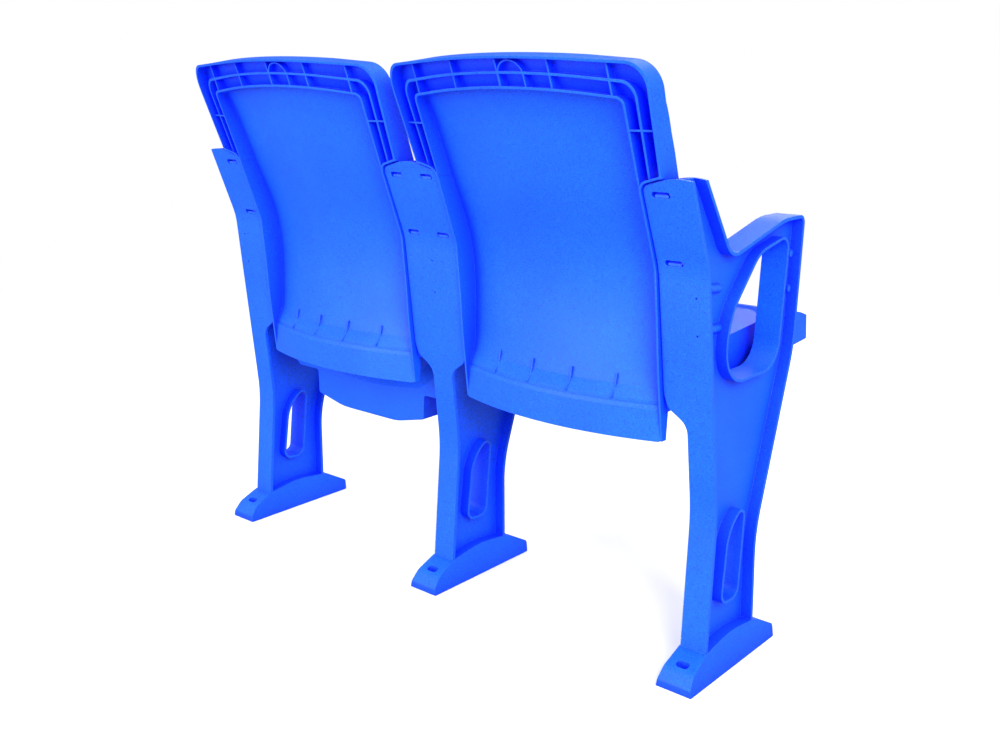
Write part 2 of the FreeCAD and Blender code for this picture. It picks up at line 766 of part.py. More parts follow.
def dish_plan(inset):
    half = float(d.dish_half) - inset
    front = -float(d.dish_front) + inset
    border = float(d.tail_border)
    corner = float(d.seat_rear_corner) - border - inset
    rear = float(d.seat_rear) - border - inset
    tail = float(d.tail_half) - 6 - inset * 0.5
    return [
        (-half, front, 34), (0, front - 3, 900), (half, front, 34), (half, corner - 34, 40),
        (tail, corner, 46), (0, rear, 500), (-tail, corner, 46), (-half, corner - 34, 40),
    ]


def dish_solid(name, rise, grow):
    """The hollow of the dish, or with grow the skin under it."""
    top = float(d.seat_top) + rise
    low = float(d.seat_top) - float(d.dish_depth) - grow
    upper = wire_of(dish_plan(-grow))
    lower = wire_of(dish_plan(DISH_SLOPE - grow))
    upper.translate(V(0, 0, top))
    lower.translate(V(0, 0, low))
    return named_shape(name, Part.makeLoft([lower, upper], True, True))


def seat_pan(name, middle, tilt):
    """Moulded seat: a skirted shell with a dished top and ribs below."""
    half = float(d.seat_half)
    wall = float(d.seat_wall)
    outer = combine("Part::MultiCommon", name + "_block", None, [
        prism(name + "_side", TO_YZ, seat_side_profile(), -half - 5, half + 5),
        prism(name + "_plan", TO_XY, seat_plan(), 0, float(d.seat_top) + 10),
    ])
    inner = shifted(seat_side_profile(), -wall)
    hollow_low = inner[:4] + [(inner[3][0], 5, 0), (inner[0][0], 5, 0)]
    hollow = combine("Part::MultiCommon", name + "_hollow", None, [
        prism(name + "_hollow_side", TO_YZ, hollow_low, -half, half),
        prism(name + "_hollow_plan", TO_XY, shifted(seat_plan(), -wall), 0, float(d.seat_top)),
    ])
    shell = combine("Part::Cut", name + "_shell", outer, [hollow])
    skin = combine("Part::MultiCommon", name + "_skin", None, [
        dish_solid(name + "_dish_skin", 0, wall), outer_copy(name, outer)])
    ribs = []
    for number, across in enumerate(SEAT_RIBS):
        ribs.append(box(name + "_rib_%d" % number, across - RIB_WALL / 2, -float(d.seat_front) + 2, 50,
                        RIB_WALL, float(d.seat_front) + float(d.seat_rear) - 8, float(d.seat_top) - 52))
    for number, back in enumerate(SEAT_CROSS_RIBS):
        ribs.append(box(name + "_cross_%d" % number, -half + 2, back, 50, 2 * half - 4, RIB_WALL,
                        float(d.seat_top) - 52))
    grid = combine("Part::MultiCommon", name + "_grid", None, [
        combine("Part::MultiFuse", name + "_rib_set", None, ribs), outer_copy(name + "_grid", outer)])
    bosses = []
    face = float(d.pitch) / 2 - float(CHEEK_OUTER)
    for side in (1, -1):
        for number, (back, height) in enumerate(CHEEK_SCREWS):
            bosses.append(cylinder("%s_boss_%d_%d" % (name, side + 1, number), side * (half - 16), back, height,
                                   7, (face - half + 16) * side))
    whole = combine("Part::MultiFuse", name + "_whole", shell, [skin, grid] + bosses)
    holes = [dish_solid(name + "_dish", 0.5, 0)]
    for side in (1, -1):
        for number, (back, height) in enumerate(CHEEK_SCREWS):
            depth = float(d.cheek_screw_length) - float(d.cheek_wall) + 1
            holes.append(cylinder("%s_tap_%d_%d" % (name, side + 1, number), side * (face + 1), back, height,
                                  float(d.cheek_screw_diameter) / 2, -(depth + 1) * side))
    pan = combine("Part::Cut", name, whole, holes)
    pan.Label = name
    pan.Placement = FreeCAD.Placement(V(float(middle), float(d.pivot_back), float(d.pivot_height)),
                                      FreeCAD.Rotation(V(1, 0, 0), -float(tilt)))
    return pan


def outer_copy(name, source):
    return named_shape(name + "_envelope", source.Shape)


def box(name, across, back, up, wide, deep, high):
    item = doc.addObject("Part::Box", name)
    item.Length = wide
    item.Width = deep
    item.Height = high
    item.Placement = FreeCAD.Placement(V(across, back, up), FreeCAD.Rotation())
    return item


def cylinder(name, across, back, up, radius, length):
    """Cylinder along X, towards +X for a positive length."""
    item = doc.addObject("Part::Cylinder", name)
    item.Radius = radius
    item.Height = abs(length)
    way = V(1, 0, 0) if length > 0 else V(-1, 0, 0)
    item.Placement = FreeCAD.Placement(V(across, back, up), FreeCAD.Rotation(V(0, 0, 1), way))
    return item


def cheek_screws(name, middle, tilt):
    """Countersunk screws through both cheeks of one seat, as a group of solids."""
    radius = float(d.cheek_screw_diameter) / 2
    solids = []
    for side in (1, -1):
        start = side * (float(d.pitch) / 2 - float(CHEEK_INNER))
        way = V(-side, 0, 0)
        for back, height in CHEEK_SCREWS:
            foot = V(start, back, height)
            head = Part.makeCone(radius * 2 - 0.1, radius, radius - 0.2, foot + way * 0.1, way)
            shank = Part.makeCylinder(radius - 0.05, float(d.cheek_screw_length) - 0.1, foot + way * 0.1, way)
            solids.append(head.fuse(shank).removeSplitter())
    item = named_shape(name, Part.makeCompound(solids))
    item.Label = name
    item.Placement = FreeCAD.Placement(V(float(middle), float(d.pivot_back), float(d.pivot_height)),
                                       FreeCAD.Rotation(V(1, 0, 0), -float(tilt)))
    return item


# Back: shell, rim, ribs and fins, drawn about its own middle

PANEL = (
    # Height, front face in the middle and front face at the reference half width
    (405, 83.0, 53.5), (450, 74.0, 48.5), (505, 68.0, 48.5), (597, 80.5, 62.5), (668, 110.5, 93.0),
    (746, 144.0, 126.0), (803, 172.5, 154.0), (870, 200.0, 181.0),
)
PANEL_REFERENCE = 180.0


def bow(middle, side, across):
    """Y of a shallow arc through its middle and its value at the reference half width."""
    sag = middle - side
    radius = (PANEL_REFERENCE ** 2 + sag ** 2) / (2 * sag)
    return middle - radius + math.sqrt(radius ** 2 - across ** 2)


def bow_section(height, front_middle, front_side, rear_middle, rear_side, half):
    """Horizontal section between two shallow arcs."""
    front = [V(x, bow(front_middle, front_side, abs(x)), height) for x in (-half, 0, half)]
    rear = [V(x, bow(rear_middle, rear_side, abs(x)), height) for x in (half, 0, -half)]
    return Part.Wire([
        Part.Arc(*front).toShape(), Part.LineSegment(front[2], rear[0]).toShape(),
        Part.Arc(*rear).toShape(), Part.LineSegment(rear[2], front[0]).toShape(),
    ])


def bowed_solid(name, rows, half, ruled=False):
    sections = [bow_section(*row, half) for row in rows]
    return named_shape(name, Part.makeLoft(sections, True, ruled))


def back_outline(inset):
    """Rim of the back seen from behind, or one of its ribs at an inset."""
    low = float(d.back_half_low) - 0.92 * inset
    wide = float(d.back_half_top) - 1.12 * inset
    corner = float(d.back_corner) - inset
    top = float(d.back_top) - inset
    base = float(d.upright_height) - 30
    return [
        (-low, base, 0), (low, base, 0), (wide, corner, 30 - 0.5 * inset), (0, top + 6, 1400),
        (-wide, corner, 30 - 0.5 * inset),
    ]


def ring(name, outer, inner):
    """A thin wall between two outlines seen from behind, as deep as the back can need."""
    open_below = [(a, b - 10 if b < float(d.upright_height) - 25 else b, r) for a, b, r in inner]
    face = Part.Face(wire_of(outer)).cut(Part.Face(wire_of(open_below)))
    solid = face.extrude(V(0, 0, 320))
    solid.translate(V(0, 0, -260))
    solid.Placement = FreeCAD.Placement(V(0, 0, 0), TO_XZ).multiply(solid.Placement)
    return named_shape(name, solid)


def rim_rear(height, drop):
    """Rear edge of the rim in the middle and at the reference half width."""
    side = lean_at(height) + 2.8
    middle = side + float(d.back_bulge)
    at_reference = middle - float(d.back_bulge) * (PANEL_REFERENCE / float(d.back_half_low)) ** 2
    return middle - drop, at_reference - drop


def rim_space(name, drop):
    """Room for ribs between the skin of the panel and the rear edge of the rim, above the standards."""
    rows = []
    for height in (float(d.upright_height) - 25, 740, 803, 875):
        front = panel_front(height)
        rear = rim_rear(height, drop)
        rows.append((height, front[0] + 1, front[1] + 1, rear[0], rear[1]))
    return bowed_solid(name, rows, 236, ruled=True)


def panel_front(height):
    for (low, low_mid, low_side), (high, high_mid, high_side) in zip(PANEL, PANEL[1:]):
        if height <= high:
            break
    share = (height - low) / (high - low)
    return low_mid + share * (high_mid - low_mid), low_side + share * (high_side - low_side)


def land_front_path():
    """Front face of the rear flange, bottom to top, moved ahead by the clearance."""
    wall = float(d.flange_wall) + float(d.seat_gap)
    path = strip(rear_path(), wall)[len(rear_path()):]
    path = path[::-1]
    return path


def build_back(name, middle):
    wall = float(d.back_wall)
    rib = float(d.back_rib)
    pitch_half = float(d.pitch) / 2
    fin_out = pitch_half - float(d.flange_half) - float(d.fin_gap)
    fin_in = fin_out - rib

    # Skin of the panel and of the channels round it
    rows = [(z, mid, side, mid + wall, side + wall) for z, mid, side in PANEL]
    skin = bowed_solid(name + "_skin_stock", rows, 236)
    low = float(d.lip_low)
    base = float(d.upright_height) - 30
    edge = float(d.back_half_low)
    skin_plan = [(-fin_out, 404, 0), (fin_out, 404, 0), (fin_out, base + 20, 0), (edge, base + 36, 0)]
    skin_plan += back_outline(0)[2:] + [(-edge, base + 36, 0), (-fin_out, base + 20, 0)]
    skin_cut = combine("Part::MultiCommon", name + "_skin", None, [
        skin, prism(name + "_skin_plan", TO_XZ, skin_plan, -300, 300)])

    # Ramp, valley and lip at the foot of the back
    lip_high = float(d.lip_high)
    ramp_rows = [(406, 83.0, 53.5, 86.5, 57.0), (lip_high + 6, 95.0, 60.0, 99.0, 64.0),
                 (lip_high - 3, 95.5, 60.5, 99.5, 64.5)]
    ramp = bowed_solid(name + "_ramp_stock", ramp_rows, 236, ruled=True)
    lip_rows = [(lip_high, 94.5, 60.5, 100.0, 65.5), (lip_high - 6, 94.0, 61.0, 102.0, 68.0),
                (low - 12, 97.0, 66.0, 102.5, 71.5)]
    lip = bowed_solid(name + "_lip_stock", lip_rows, 236, ruled=True)
    side = fin_out - 0.2
    lip_plan = [(-side, low, 6), (side, low, 6), (side, 407, 0), (-side, 407, 0)]
    foot = combine("Part::MultiFuse", name + "_foot_stock", ramp, [lip])
    foot_cut = combine("Part::MultiCommon", name + "_foot", None, [
        foot, prism(name + "_foot_plan", TO_XZ, lip_plan, -300, 300)])

    # Crescent gussets above the lip
    gussets = []
    for number, across in enumerate((-108, -36, 36, 108)):
        sag = bow(33.0, 0.0, abs(across)) - 33.0
        crescent = [(84 + sag, 420, 0), (87 + sag, 420, 0), (91 + sag, 401, 14), (102 + sag, lip_high + 5, 0),
                    (97 + sag, lip_high + 2, 0)]
        gussets.append(prism("%s_gusset_%d" % (name, number), TO_YZ, crescent, across - 1.1, across + 1.1))

    # Rim and ribs of the upper part
    outer_gap = float(d.rib_gap_outer)
    inner_gap = float(d.rib_gap_inner)
    skirt = ring(name + "_skirt_ring", back_outline(0), back_outline(rib + 0.5))
    first = ring(name + "_rib_ring_1", back_outline(outer_gap), back_outline(outer_gap + rib))
    reach = outer_gap + inner_gap
    second = ring(name + "_rib_ring_2", back_outline(reach), back_outline(reach + rib))
    bars = []
    for number, across in enumerate((-168, -84, 0, 84, 168)):
        bars.append(box("%s_bar_%d" % (name, number), across - 1.2, -10, 770, 2.4, 240, 110))
    bars.append(box(name + "_bar_side", -235, -10, 764, 470, 240, 2.4))
    channel = ring(name + "_channel", back_outline(1), back_outline(reach + 1))
    bar_set = combine("Part::MultiCommon", name + "_bars", None, [
        combine("Part::MultiFuse", name + "_bar_set", None, bars), channel])
    plate_arc = combine("Part::MultiCommon", name + "_plate_arc", None, [
        plate_mark(name), ring(name + "_channel_2", back_outline(1), back_outline(reach + 1))])
    skirt_cut = combine("Part::MultiCommon", name + "_skirt", None, [skirt, rim_space(name + "_space_1", 0.0)])
    inner_set = combine("Part::MultiFuse", name + "_inner_ribs", None, [first, second, bar_set, plate_arc])
    inner_cut = combine("Part::MultiCommon", name + "_ribs", None, [
        inner_set, rim_space(name + "_space_2", float(d.rib_drop))])

    # Fins beside the rear flanges, the lands that lie on them and the spigots in their slots
    pieces = [skin_cut, foot_cut, skirt_cut, inner_cut] + gussets
    for hand in (1, -1):
        pieces.extend(back_side(name, hand, fin_out, fin_in))
    whole = combine("Part::MultiFuse", name + "_whole", None, pieces)
    room = keep_out(name)
    clear = combine("Part::Cut", name + "_clear", whole, [room])
    spigots = []
    for hand in (1, -1):
        spigots.extend(back_spigots(name, hand))
    pegged = combine("Part::MultiFuse", name + "_pegged", clear, spigots)
    holes = []
    for hand in (1, -1):
        for height in (d.screw_high, d.screw_low):
            start, way = flange_point(hand * (pitch_half - float(d.screw_offset)), height, 12)
            hole = doc.addObject("Part::Cylinder", "%s_hole" % name)
            hole.Radius = float(d.back_screw_diameter) / 2 + 0.3
            hole.Height = 16
            hole.Placement = FreeCAD.Placement(start, FreeCAD.Rotation(V(0, 0, 1), way))
            holes.append(hole)
    back = combine("Part::Cut", name, pegged, holes)
    back.Label = name
    back.Placement = FreeCAD.Placement(V(float(middle), 0, 0), FreeCAD.Rotation())
    return back


def plate_mark(name):
    """Arched wall behind the place of a seat number."""
    arch = strip([(-44, 760, 0), (-44, 852, 21), (0, 852, 21), (0, 760, 0)], -2)
    return prism(name + "_plate_arch", TO_XZ, arch, -260, 60)


def back_side(name, hand, fin_out, fin_in):
    """Fin, land and spigots on one side of a back."""
    tag = "%s_%s" % (name, "left" if hand > 0 else "right")
    pitch_half = float(d.pitch) / 2
    low = float(d.lip_low)
    top = float(d.upright_height)
    gap = float(d.fin_gap)
    rib = float(d.back_rib)
    wall = float(d.land_wall)
    edge = float(d.back_half_low)

    # The fin follows the free edge of the rear flange and turns over its top corner
    half = float(d.flange_half) + gap
    path = [
        (-half, low + 1, 0), (-half, top - 19 + gap, 12 + gap), (-20, top - 8 + gap, 0),
    ]
    outline = strip(path, rib)
    outline = [(hand * (pitch_half + across), up, radius) for across, up, radius in outline]
    rear = [
        (float(d.knee_back) + 17, low - 5), (rear_at(442) + 7, 442), (rear_at(500) + 5, 500),
        (rear_at(580) + 4, 580), (lean_at(730) + 2.8, 730),
    ]
    depth = [(a, b, 60 if 400 < b < 700 else 0) for a, b in rear]
    front = [(120, 730, 0), (93, 668, 60), (62, 597, 90), (48, 505, 90), (48, 440, 60), (53, 405, 0), (60, low - 5, 0)]
    fin = combine("Part::MultiCommon", tag + "_fin", None, [
        prism(tag + "_fin_face", TO_XZ, outline, -300, 300),
        prism(tag + "_fin_side", TO_YZ, depth + front, -260, 260),
    ])
    fin_band = prism(tag + "_fin_band", TO_XZ, mirrored(hand, [
        (fin_in - 8, low - 10, 0), (edge, low - 10, 0), (edge, top + 30, 0), (fin_in - 8, top + 30, 0)]), -300, 300)
    fin = combine("Part::MultiCommon", tag + "_fin_cut", None, [fin, fin_band])

    # The land is the turned out side of the back, in front of the flange
    gap_path = strip(rear_path(), float(d.flange_wall) + float(d.seat_gap))[len(rear_path()):]
    face_path = [(a, b, r if float(b) > 300 else 0) for a, b, r in gap_path if float(b) > 100]
    land = strip(face_path, -wall)
    plate = prism(tag + "_land_side", TO_YZ, land, -260, 260)
    plan = mirrored(hand, [(fin_in + 0.5, 372, 4), (edge, 396, 14), (edge, top - 14, 0), (fin_in + 0.5, top - 14, 0)])
    land_cut = combine("Part::MultiCommon", tag + "_land", None, [
        plate, prism(tag + "_land_plan", TO_XZ, plan, -300, 300)])

    return [fin, land_cut]


def back_spigots(name, hand):
    """Locating spigots that enter the slots of the rear flange."""
    tag = "%s_%s" % (name, "left" if hand > 0 else "right")
    pitch_half = float(d.pitch) / 2
    wall = float(d.land_wall)
    spigots = []
    for label, height in (("high", d.slot_high), ("low", d.slot_low)):
        face = rear_at(height) - float(d.flange_wall)
        rest = height - (d.slot_width - d.spigot_width) / 2 + d.seat_gap
        oval = slot_outline(hand * (pitch_half - float(d.slot_offset)), rest, d.spigot_length, d.spigot_width)
        spigots.append(prism("%s_spigot_%s" % (tag, label), TO_XZ, oval, -face - float(d.spigot_reach),
                             -face + wall))
    return spigots


def mirrored(hand, corners):
    return [(hand * across, up, radius) for across, up, radius in corners]


def keep_out(name):
    """Room for the rear flanges and their rims, cut from the back with its clearance."""
    pitch_half = float(d.pitch) / 2
    gap = float(d.fin_gap)
    blocks = []
    for hand in (1, -1):
        face = shifted(flange_face(), gap)
        face = [(across + hand * pitch_half, up, radius) for across, up, radius in face]
        side = strip(rear_path(), float(d.flange_wall) + float(d.seat_gap))
        deep = [(a + (60 if i < len(rear_path()) else 0), b, r) for i, (a, b, r) in enumerate(side)]
        blocks.append(combine("Part::MultiCommon", "%s_room_%d" % (name, hand + 1), None, [
            prism("%s_room_face_%d" % (name, hand + 1), TO_XZ, face, -300, 300),
            prism("%s_room_side_%d" % (name, hand + 1), TO_YZ, deep, -320, 320),
        ]))
    return combine("Part::MultiFuse", name + "_room", None, blocks)


def back_fastenings():
    """Where the screws of a back stand: across from its middle, and height."""
    for hand in (1, -1):
        for height in (float(d.screw_high), float(d.screw_low)):
            yield hand * (float(d.pitch) / 2 - float(d.screw_offset)), height


def back_screws(name, middle):
    """Four screws that clamp a back to the two rear flanges, as a group of solids."""
    radius = float(d.back_screw_diameter) / 2
    under_head = float(d.seat_gap) + float(d.land_wall) + float(d.back_washer_wall)
    solids = []
    for across, height in back_fastenings():
        seat, way = flange_point(across, height, under_head)
        head = Part.makeCylinder(float(d.back_screw_head) / 2, 3.8, seat - way * 3.8, way)
        length = under_head + float(d.tap_depth) - 0.5
        shank = Part.makeCylinder(radius - 0.02, length + 0.5, seat - way * 0.5, way)
        recess = Part.makeCylinder(2.6, 2.2, seat - way * 4, way)
        solids.append(head.fuse(shank).cut(recess).removeSplitter())
    item = named_shape(name, Part.makeCompound(solids))
    item.Label = name
    item.Placement = FreeCAD.Placement(V(float(middle), 0, 0), FreeCAD.Rotation())
    return item


def back_washers(name, middle):
    """The washers under those screws, as a group of solids."""
    solids = []
    for across, height in back_fastenings():
        face, way = flange_point(across, height, float(d.seat_gap) + float(d.land_wall))
        start = face - way * float(d.back_washer_wall)
        disc = Part.makeCylinder(float(d.back_washer_diameter) / 2, float(d.back_washer_wall), start, way)
        bore = Part.makeCylinder(float(d.back_screw_diameter) / 2 + 0.2, 4, start - way, way)
        solids.append(disc.cut(bore))
    item = named_shape(name, Part.makeCompound(solids))
    item.Label = name
    item.Placement = FreeCAD.Placement(V(float(middle), 0, 0), FreeCAD.Rotation())
    return item


# The row

def at_place(name, source, placement):
    """One more piece from the same mould, at its own place."""
    item = named_shape(name, source.Shape.copy())
    item.Label = name
    item.Placement = placement.multiply(item.Placement)
    return item


def mirrored_piece(name, source, base=V(0, 0, 0)):
    item = doc.addObject("Part::Mirroring", name)
    item.Label = name
    item.Source = source
    item.Normal = V(1, 0, 0)
    item.Base = base
    doc.recompute()
    return item


def standards():
    """Left end standard, its mirror image, and the middle one, which carries a seat on both sides."""
    pitch = float(d.pitch)
    left = standard("left_standard", pitch, (-1,), 1)
    doc.recompute()
    right = mirrored_piece("right_standard", left)
    one_hand = at_place("middle_one_hand", left, FreeCAD.Placement(V(-pitch, 0, 0), FreeCAD.Rotation()))
    other_hand = mirrored_piece("middle_other_hand", one_hand)
    middle = combine("Part::MultiFuse", "middle_standard", one_hand, [other_hand])
    middle.Refine = True
    doc.recompute()
    return [left, middle, right]


def seat_swing(tilt_from, tilt_to):
    """Turns a seat piece about the hinge axis from one tilt to another."""
    turn = FreeCAD.Rotation(V(1, 0, 0), float(tilt_from) - float(tilt_to))
    axis = V(0, float(d.pivot_back), float(d.pivot_height))
    return FreeCAD.Placement(V(0, 0, 0), turn, axis)


def build_row():
    pitch = float(d.pitch)
    down = float(d.down_tilt)
    up = down + float(d.travel)
    nodes = standards()
    back = build_back("left_back", pitch / 2)
    pan = seat_pan("right_seat_pan", -pitch / 2, down)
    outer = hinge_cheek("right_seat_outer_cheek", -pitch, down)
    doc.recompute()
    moved = FreeCAD.Placement(V(-pitch, 0, 0), FreeCAD.Rotation())
    nodes += [back, at_place("right_back", back, moved), pan]
    lift = FreeCAD.Placement(V(pitch, 0, 0), FreeCAD.Rotation()).multiply(seat_swing(down, up))
    nodes.append(at_place("left_seat_pan", pan, lift))
    inner = mirrored_piece("right_seat_inner_cheek", outer, V(-pitch / 2, 0, 0))
    nodes += [outer, inner]
    nodes.append(at_place("left_seat_inner_cheek", outer, lift))
    nodes.append(at_place("left_seat_outer_cheek", inner, lift))
    for label, middle, tilt in (("left", pitch / 2, up), ("right", -pitch / 2, down)):
        nodes.append(back_screws(label + "_back_screws", middle))
        nodes.append(back_washers(label + "_back_washers", middle))
        nodes.append(cheek_screws(label + "_cheek_screws", middle, tilt))
        for hand in (1, -1):
            where = "%s_seat_%s" % (label, "outer" if hand * middle > 0 else "inner")
            post = middle + hand * pitch / 2
            side = -hand
            nodes.append(hinge_pin(where + "_hinge_pin", post, side))
            nodes.append(hinge_bush(where + "_hinge_bush", post, side))
            nodes.append(thrust_washer(where + "_thrust_washer", post, side))
            nodes.append(stop_buffer(where + "_stop_buffer", post, side))
    return nodes


def check_and_write(nodes):
    doc.recompute()
    for item in doc.Objects:
        if "Invalid" in item.State or "Error" in item.State:
            raise ValueError("%s failed: %s" % (item.Label, item.State))
    os.makedirs("parts", exist_ok=True)
    total = 0
    for node in nodes:
        shape = node.Shape
        if shape.isNull() or not shape.isValid():
            raise ValueError(node.Label + " has no valid shape")
        if not shape.Solids:
            raise ValueError(node.Label + " holds no solid")
        total += 1
        box_ = shape.BoundBox
        print("%-32s solids %d volume %.0f  x %.0f..%.0f  y %.0f..%.0f  z %.0f..%.0f" % (
            node.Label, len(shape.Solids), shape.Volume, box_.XMin, box_.XMax, box_.YMin, box_.YMax,
            box_.ZMin, box_.ZMax))
        shape.exportStep("parts/%s.step" % node.Label)
    print("nodes", total)


check_and_write(build_row())
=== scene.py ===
import json
import math

import bpy
from mathutils import Matrix, Vector


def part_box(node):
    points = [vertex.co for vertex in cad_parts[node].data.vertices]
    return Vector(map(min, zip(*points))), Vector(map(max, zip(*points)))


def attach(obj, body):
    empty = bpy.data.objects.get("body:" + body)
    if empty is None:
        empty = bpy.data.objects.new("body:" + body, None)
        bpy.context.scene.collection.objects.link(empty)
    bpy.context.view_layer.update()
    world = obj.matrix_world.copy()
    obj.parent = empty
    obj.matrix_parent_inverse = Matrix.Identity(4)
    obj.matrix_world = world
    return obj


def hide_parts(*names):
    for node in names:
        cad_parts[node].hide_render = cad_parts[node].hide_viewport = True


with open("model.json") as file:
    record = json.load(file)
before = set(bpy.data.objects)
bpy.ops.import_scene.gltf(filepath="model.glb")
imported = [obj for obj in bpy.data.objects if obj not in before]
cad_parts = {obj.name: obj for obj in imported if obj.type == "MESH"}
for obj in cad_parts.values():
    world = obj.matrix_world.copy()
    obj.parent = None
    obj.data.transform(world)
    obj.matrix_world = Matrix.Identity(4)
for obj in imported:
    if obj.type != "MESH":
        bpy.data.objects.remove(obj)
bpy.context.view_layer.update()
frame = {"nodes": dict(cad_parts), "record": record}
nodes = frame["nodes"]

MM = 0.001
CREASE = math.radians(28)  # edges sharper than this stay crisp

# Draft of the back's top wall, in metres
DRAFT_START = 0.804     # height where the wall begins to climb
DRAFT_BLEND = 0.050     # height over which the climb comes in
DRAFT_REACH = 0.040     # from the rear edge forwards
DRAFT_RISE = 0.007

# Bosses on the outer face of an end standard: name, both ends (y, z) and radius
WEB_FACE = 0.4835
WEB_BOSSES = (
    ("upper_flange_boss", (0.062, 0.556), (0.034, 0.553), 6.0 * MM),
    ("lower_flange_boss", (0.058, 0.500), (0.030, 0.498), 6.0 * MM),
    ("upper_armrest_boss", (-0.158, 0.579), (-0.176, 0.576), 5.5 * MM),
    ("lower_armrest_boss", (-0.156, 0.527), (-0.174, 0.524), 5.5 * MM),
)

# Studio: name, place and aim in metres, side of the square in metres, watts
SOFT_BOXES = (
    ("key_soft_box", (-2.9, 1.9, 2.1), (0, 0, 0.6), 1.8, 175),
    ("fill_soft_box", (1.0, 3.2, 1.3), (0, 0, 0.6), 2.2, 95),
    ("front_soft_box", (0.4, -3.2, 2.2), (0, 0, 0.4), 2.0, 55),
    ("roof_soft_box", (0, 0.2, 3.4), (0, 0, 0.6), 2.6, 12),
)
ROOM_LIGHT = 0.95
GLOSS_SHARE = 0.25      # how much of the room's light a glossy surface mirrors
FLOOR_HALF = 9.0
FLOOR_FADE = (1.2, 3.2)  # distances between which the floor turns plain white

# The camera solved from the three standards
CAMERA_PLACE = (-1.2428, 1.3650, 0.8353)
CAMERA_AZIMUTH, CAMERA_ELEVATION, CAMERA_ROLL = (math.radians(a) for a in (220.7516, 10.2647, -0.1017))
CAMERA_LENS = 41.15
CAMERA_SENSOR = 36
CAMERA_SHIFT = -0.0964


# Colours and shader nodes

def hex_colour(code):
    """An sRGB colour such as #2D6FF2, as the linear numbers that a shader takes."""
    channels = [int(code[i:i + 2], 16) / 255 for i in (1, 3, 5)]
    linear = [c / 12.92 if c <= 0.04045 else ((c + 0.055) / 1.055) ** 2.4 for c in channels]
    return (*linear, 1.0)


def add_node(tree, kind, settings=None, links=None):
    """Adds a node. A setting is for an input or a property, and a link gives an input its source socket."""
    node = tree.nodes.new(kind)
    for name, value in (settings or {}).items():
        if isinstance(name, int) or name in node.inputs:
            node.inputs[name].default_value = value
        else:
            setattr(node, name, value)
    for name, source in (links or {}).items():
        tree.links.new(source, node.inputs[name])
    return node


def per_mm(size_mm):
    """Scale of a pattern whose features are this many millimetres apart, on coordinates in metres."""
    return 1 / (size_mm * MM)


def new_material(name):
    material = bpy.data.materials.new(name)
    material.use_nodes = True
    tree = material.node_tree
    tree.nodes.clear()
    return material, tree


def finish_material(tree, shader):
    add_node(tree, "ShaderNodeOutputMaterial", links={"Surface": shader.outputs["BSDF"]})


